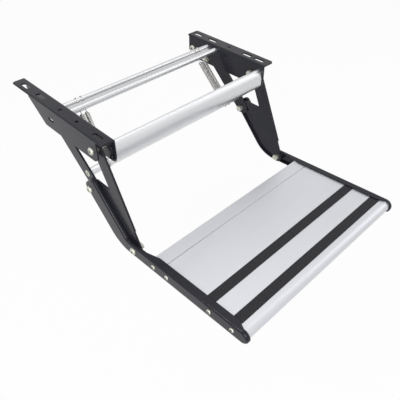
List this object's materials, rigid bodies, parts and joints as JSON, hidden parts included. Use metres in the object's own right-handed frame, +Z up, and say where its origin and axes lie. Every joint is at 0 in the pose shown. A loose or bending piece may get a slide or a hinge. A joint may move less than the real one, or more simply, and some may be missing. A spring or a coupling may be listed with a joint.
{
  "type": "caravan entry step",
  "caption": "Folding entry step: aluminium tread with grip strips between black side arms, swung on paired links from two hanging brackets joined by cross members, held by springs.",
  "frame": {"origin": "on the top faces of the brackets, midway between the left and right pairs of fixing slots", "axes": "+X across the step to the right as seen from the front, -Y to the front where the tread stands out, +Z up"},
  "size_m": [0.439, 0.6264, 0.225],
  "materials": {
    "black_paint": "satin black powder coat",
    "tread_aluminium": "satin extrusion with fine lines along its length",
    "bright_aluminium": "bright mill finish",
    "grip": "gritty anti-slip strip",
    "zinc": "zinc plated",
    "spring_steel": "plated spring wire"
  },
  "bodies": {
    "frame": {"bracket_left": "black_paint", "bracket_right": "black_paint", "front_crossbar": "bright_aluminium", "front_crossbar_screws": "black_paint", "rear_rail": "bright_aluminium", "rear_rail_screws": "black_paint", "front_pivot_bolt_left": "zinc", "front_pivot_bolt_right": "zinc", "front_pivot_sleeve": "zinc", "front_pivot_nuts": "zinc", "front_pivot_spacers": "zinc", "rear_pivot_bolts": "zinc", "rear_pivot_nuts": "zinc", "rear_pivot_spacers": "zinc", "rear_stop_bolts": "zinc", "rear_stop_nuts": "zinc"},
    "front_links": {"front_link_left": "black_paint", "front_link_right": "black_paint"},
    "rear_links": {"rear_link_left": "black_paint", "rear_link_right": "black_paint", "cross_tube": "bright_aluminium", "cross_tube_screws": "zinc", "link_studs": "zinc"},
    "step": {"side_arm_left": "black_paint", "side_arm_right": "black_paint", "tread": "tread_aluminium", "grip_strip_rear": "grip", "grip_strip_front": "grip", "tread_screws": "zinc", "lower_pivot_bolts": "zinc", "lower_pivot_nuts": "zinc", "lower_pivot_spacers": "zinc", "arm_pins": "zinc"},
    "springs": {"spring_left_inner": "spring_steel", "spring_left_outer": "spring_steel", "spring_right_inner": "spring_steel", "spring_right_outer": "spring_steel"}
  },
  "joints": [
    {"name": "front_link_pivot", "type": "hinge", "parent": "frame", "child": "front_links", "pos_m": [0, -0.084, -0.0268], "axis": [1, 0, 0], "range_deg": [0, 64]},
    {"name": "rear_link_pivot", "type": "hinge", "parent": "frame", "child": "rear_links", "pos_m": [0, 0.0471, -0.0408], "axis": [1, 0, 0], "range_deg": [0, 106.7]},
    {"name": "spring_hook", "type": "hinge", "parent": "frame", "child": "springs", "pos_m": [0, 0.0458, -0.0108], "axis": [1, 0, 0], "range_deg": [0, 84.8], "deforming": ["spring_left_inner", "spring_left_outer", "spring_right_inner", "spring_right_outer"]},
    {"name": "step_pivot", "type": "hinge", "parent": "front_links", "child": "step", "pos_m": [0, -0.1685, -0.2088], "axis": [1, 0, 0], "range_deg": [-65.4, 0]}
  ],
  "couplings": [
    {"joint": "rear_link_pivot", "follows": "front_link_pivot", "ratio": 1.6665},
    {"joint": "step_pivot", "follows": "front_link_pivot", "ratio": -1.0203},
    {"joint": "spring_hook", "follows": "front_link_pivot", "ratio": 1.3239}
  ]
}
